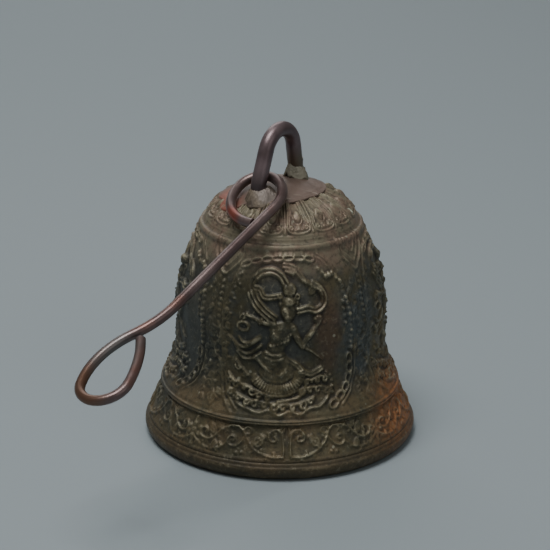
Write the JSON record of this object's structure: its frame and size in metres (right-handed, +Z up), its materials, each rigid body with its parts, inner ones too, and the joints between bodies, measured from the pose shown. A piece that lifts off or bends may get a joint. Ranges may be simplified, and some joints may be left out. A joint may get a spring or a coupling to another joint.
{
  "type": "temple bell",
  "caption": "Cast temple bell with relief petals and medallions, an upright wire crown loop, a long hanging link with an eye at each end and an inside clapper.",
  "frame": {"origin": "middle of the mouth circle, on the plane that the rim rests on", "axes": "+Z up along the bell's axis; -Y is the front, at the front medallion; +X is to the viewer's right"},
  "size_m": [0.1261, 0.1643, 0.1266],
  "materials": {
    "bell_bronze": "dark aged patina, satin",
    "crown_copper": "worn pinkish brown, satin",
    "loop_wire": "dark brown, satin",
    "solder": "dull grey green",
    "washer_brass": "dull",
    "iron": "rusty",
    "ball_bronze": "worn",
    "link_copper": "purple brown, half polished"
  },
  "bodies": {
    "bell": {"bell_shell": "bell_bronze", "crown_plate": "crown_copper", "crown_loop": "loop_wire", "solder_front": "solder", "solder_rear": "solder", "washer_front": "washer_brass", "washer_rear": "washer_brass", "clapper_staple": "iron"},
    "clapper": {"clapper_rod": "iron", "clapper_ball": "ball_bronze", "clapper_rivet": "washer_brass"},
    "link": {"hanging_link": "link_copper"}
  },
  "joints": [
    {"name": "clapper_swing", "type": "hinge", "parent": "bell", "child": "clapper", "pos_m": [0, 0, 0.0865], "axis": [1, 0, 0], "range_deg": [-27.2, 27.2]},
    {"name": "link_lift", "type": "hinge", "parent": "bell", "child": "link", "pos_m": [-0.00394, -0.00654, 0.10655], "axis": [-0.7431, 0.6691, 0], "range_deg": [0, 110]}
  ]
}
